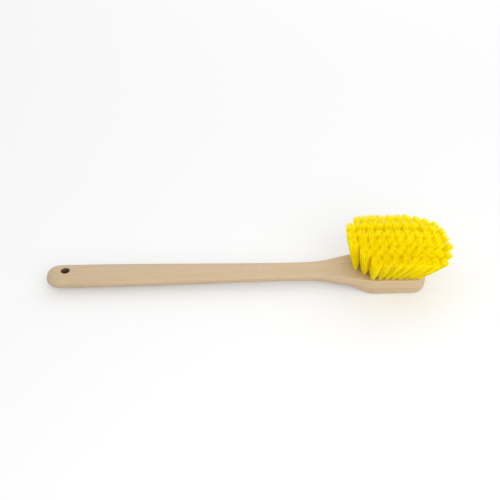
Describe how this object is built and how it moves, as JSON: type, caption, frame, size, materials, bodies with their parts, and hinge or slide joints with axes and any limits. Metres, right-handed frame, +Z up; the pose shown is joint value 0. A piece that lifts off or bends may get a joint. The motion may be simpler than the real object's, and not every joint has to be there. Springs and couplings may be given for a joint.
{
  "type": "long-handled scrub brush",
  "caption": "Long-handled utility scrub brush with a tan moulded handle and block and fanned-out tufts of stiff yellow bristle.",
  "frame": {"origin": "centre of the block's flat back, on the table plane, below the middle of the block", "axes": "+Z up out of the bristle side, +X along the brush towards the toe, the handle runs towards -X"},
  "size_m": [0.539, 0.104, 0.0723],
  "materials": {
    "handle_plastic": "matte structural foam plastic",
    "bristle": "satin extruded filament",
    "anchor_wire": "drawn flat wire"
  },
  "bodies": {
    "root": {"handle_block": "handle_plastic", "tuft_row_01": "bristle", "tuft_row_02": "bristle", "tuft_row_03": "bristle", "tuft_row_04": "bristle", "tuft_row_05": "bristle", "tuft_row_06": "bristle", "tuft_row_07": "bristle", "tuft_row_08": "bristle", "tuft_row_09": "bristle", "tuft_row_10": "bristle", "tuft_row_11": "bristle", "anchor_row_01": "anchor_wire", "anchor_row_02": "anchor_wire", "anchor_row_03": "anchor_wire", "anchor_row_04": "anchor_wire", "anchor_row_05": "anchor_wire", "anchor_row_06": "anchor_wire", "anchor_row_07": "anchor_wire", "anchor_row_08": "anchor_wire", "anchor_row_09": "anchor_wire", "anchor_row_10": "anchor_wire", "anchor_row_11": "anchor_wire"}
  },
  "joints": []
}
